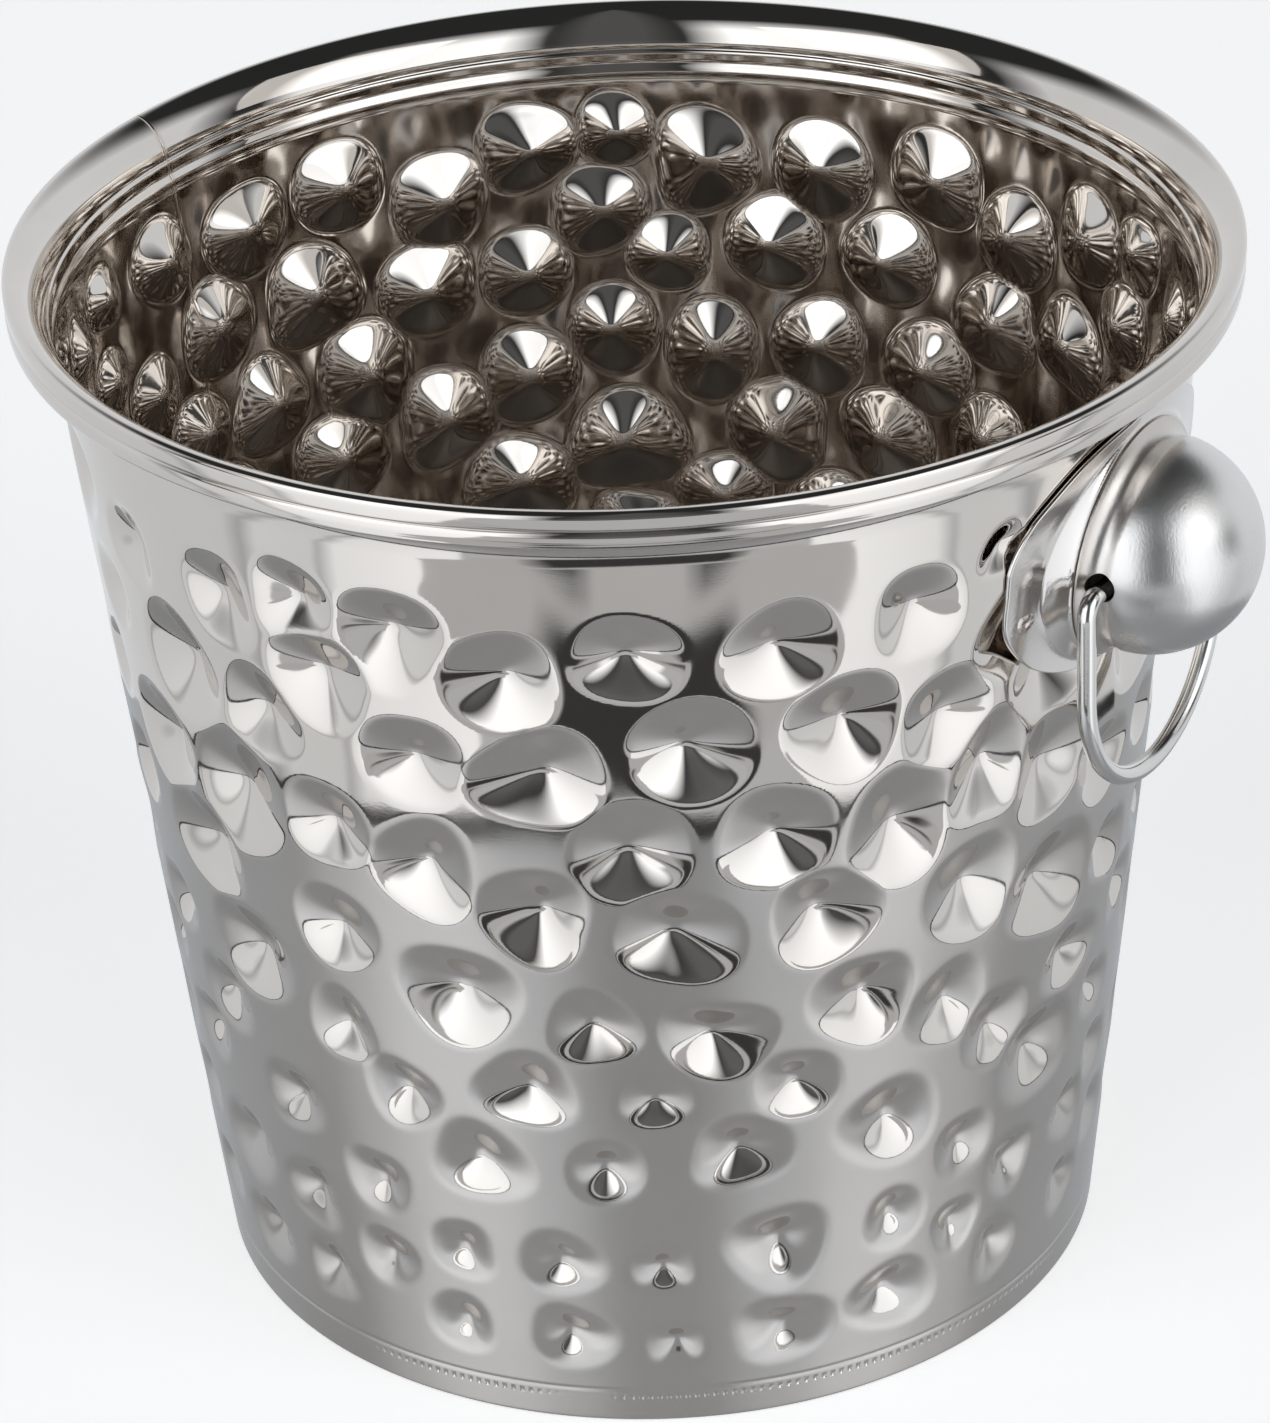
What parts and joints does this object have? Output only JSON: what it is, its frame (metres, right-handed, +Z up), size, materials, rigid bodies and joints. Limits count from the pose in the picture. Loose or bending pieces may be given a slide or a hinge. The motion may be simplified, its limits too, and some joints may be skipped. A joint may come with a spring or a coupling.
{
  "type": "ice bucket",
  "caption": "Round tapered metal bucket with a hammered wall and rolled rim, with a ball-shaped knob and a swinging pull ring on each side, for holding ice.",
  "frame": {"origin": "centre of the resting face, where the bucket's axis meets the table", "axes": "+Z up along the bucket's axis, +X through the right-hand knob and -X through the left-hand knob, +Y sideways"},
  "size_m": [0.244, 0.216, 0.1945],
  "materials": {
    "hammered_steel": "mirror-polished hammered stainless steel",
    "base_steel": "rolled stainless steel",
    "plate_steel": "polished stainless steel",
    "knob_steel": "satin stainless steel",
    "ring_steel": "polished stainless steel wire"
  },
  "bodies": {
    "bucket": {"bucket_wall": "hammered_steel", "base_pan": "base_steel", "seat_plate_right": "plate_steel", "seat_plate_left": "plate_steel", "knob_right": "knob_steel", "knob_left": "knob_steel"},
    "ring_right": {"pull_ring_right": "ring_steel"},
    "ring_left": {"pull_ring_left": "ring_steel"}
  },
  "joints": [
    {"name": "ring_right_swing", "type": "hinge", "parent": "bucket", "child": "ring_right", "pos_m": [0.103, 0, 0.1577], "axis": [0, -1, 0], "range_deg": [-8, 160]},
    {"name": "ring_left_swing", "type": "hinge", "parent": "bucket", "child": "ring_left", "pos_m": [-0.103, 0, 0.1577], "axis": [0, 1, 0], "range_deg": [-8, 160]}
  ]
}
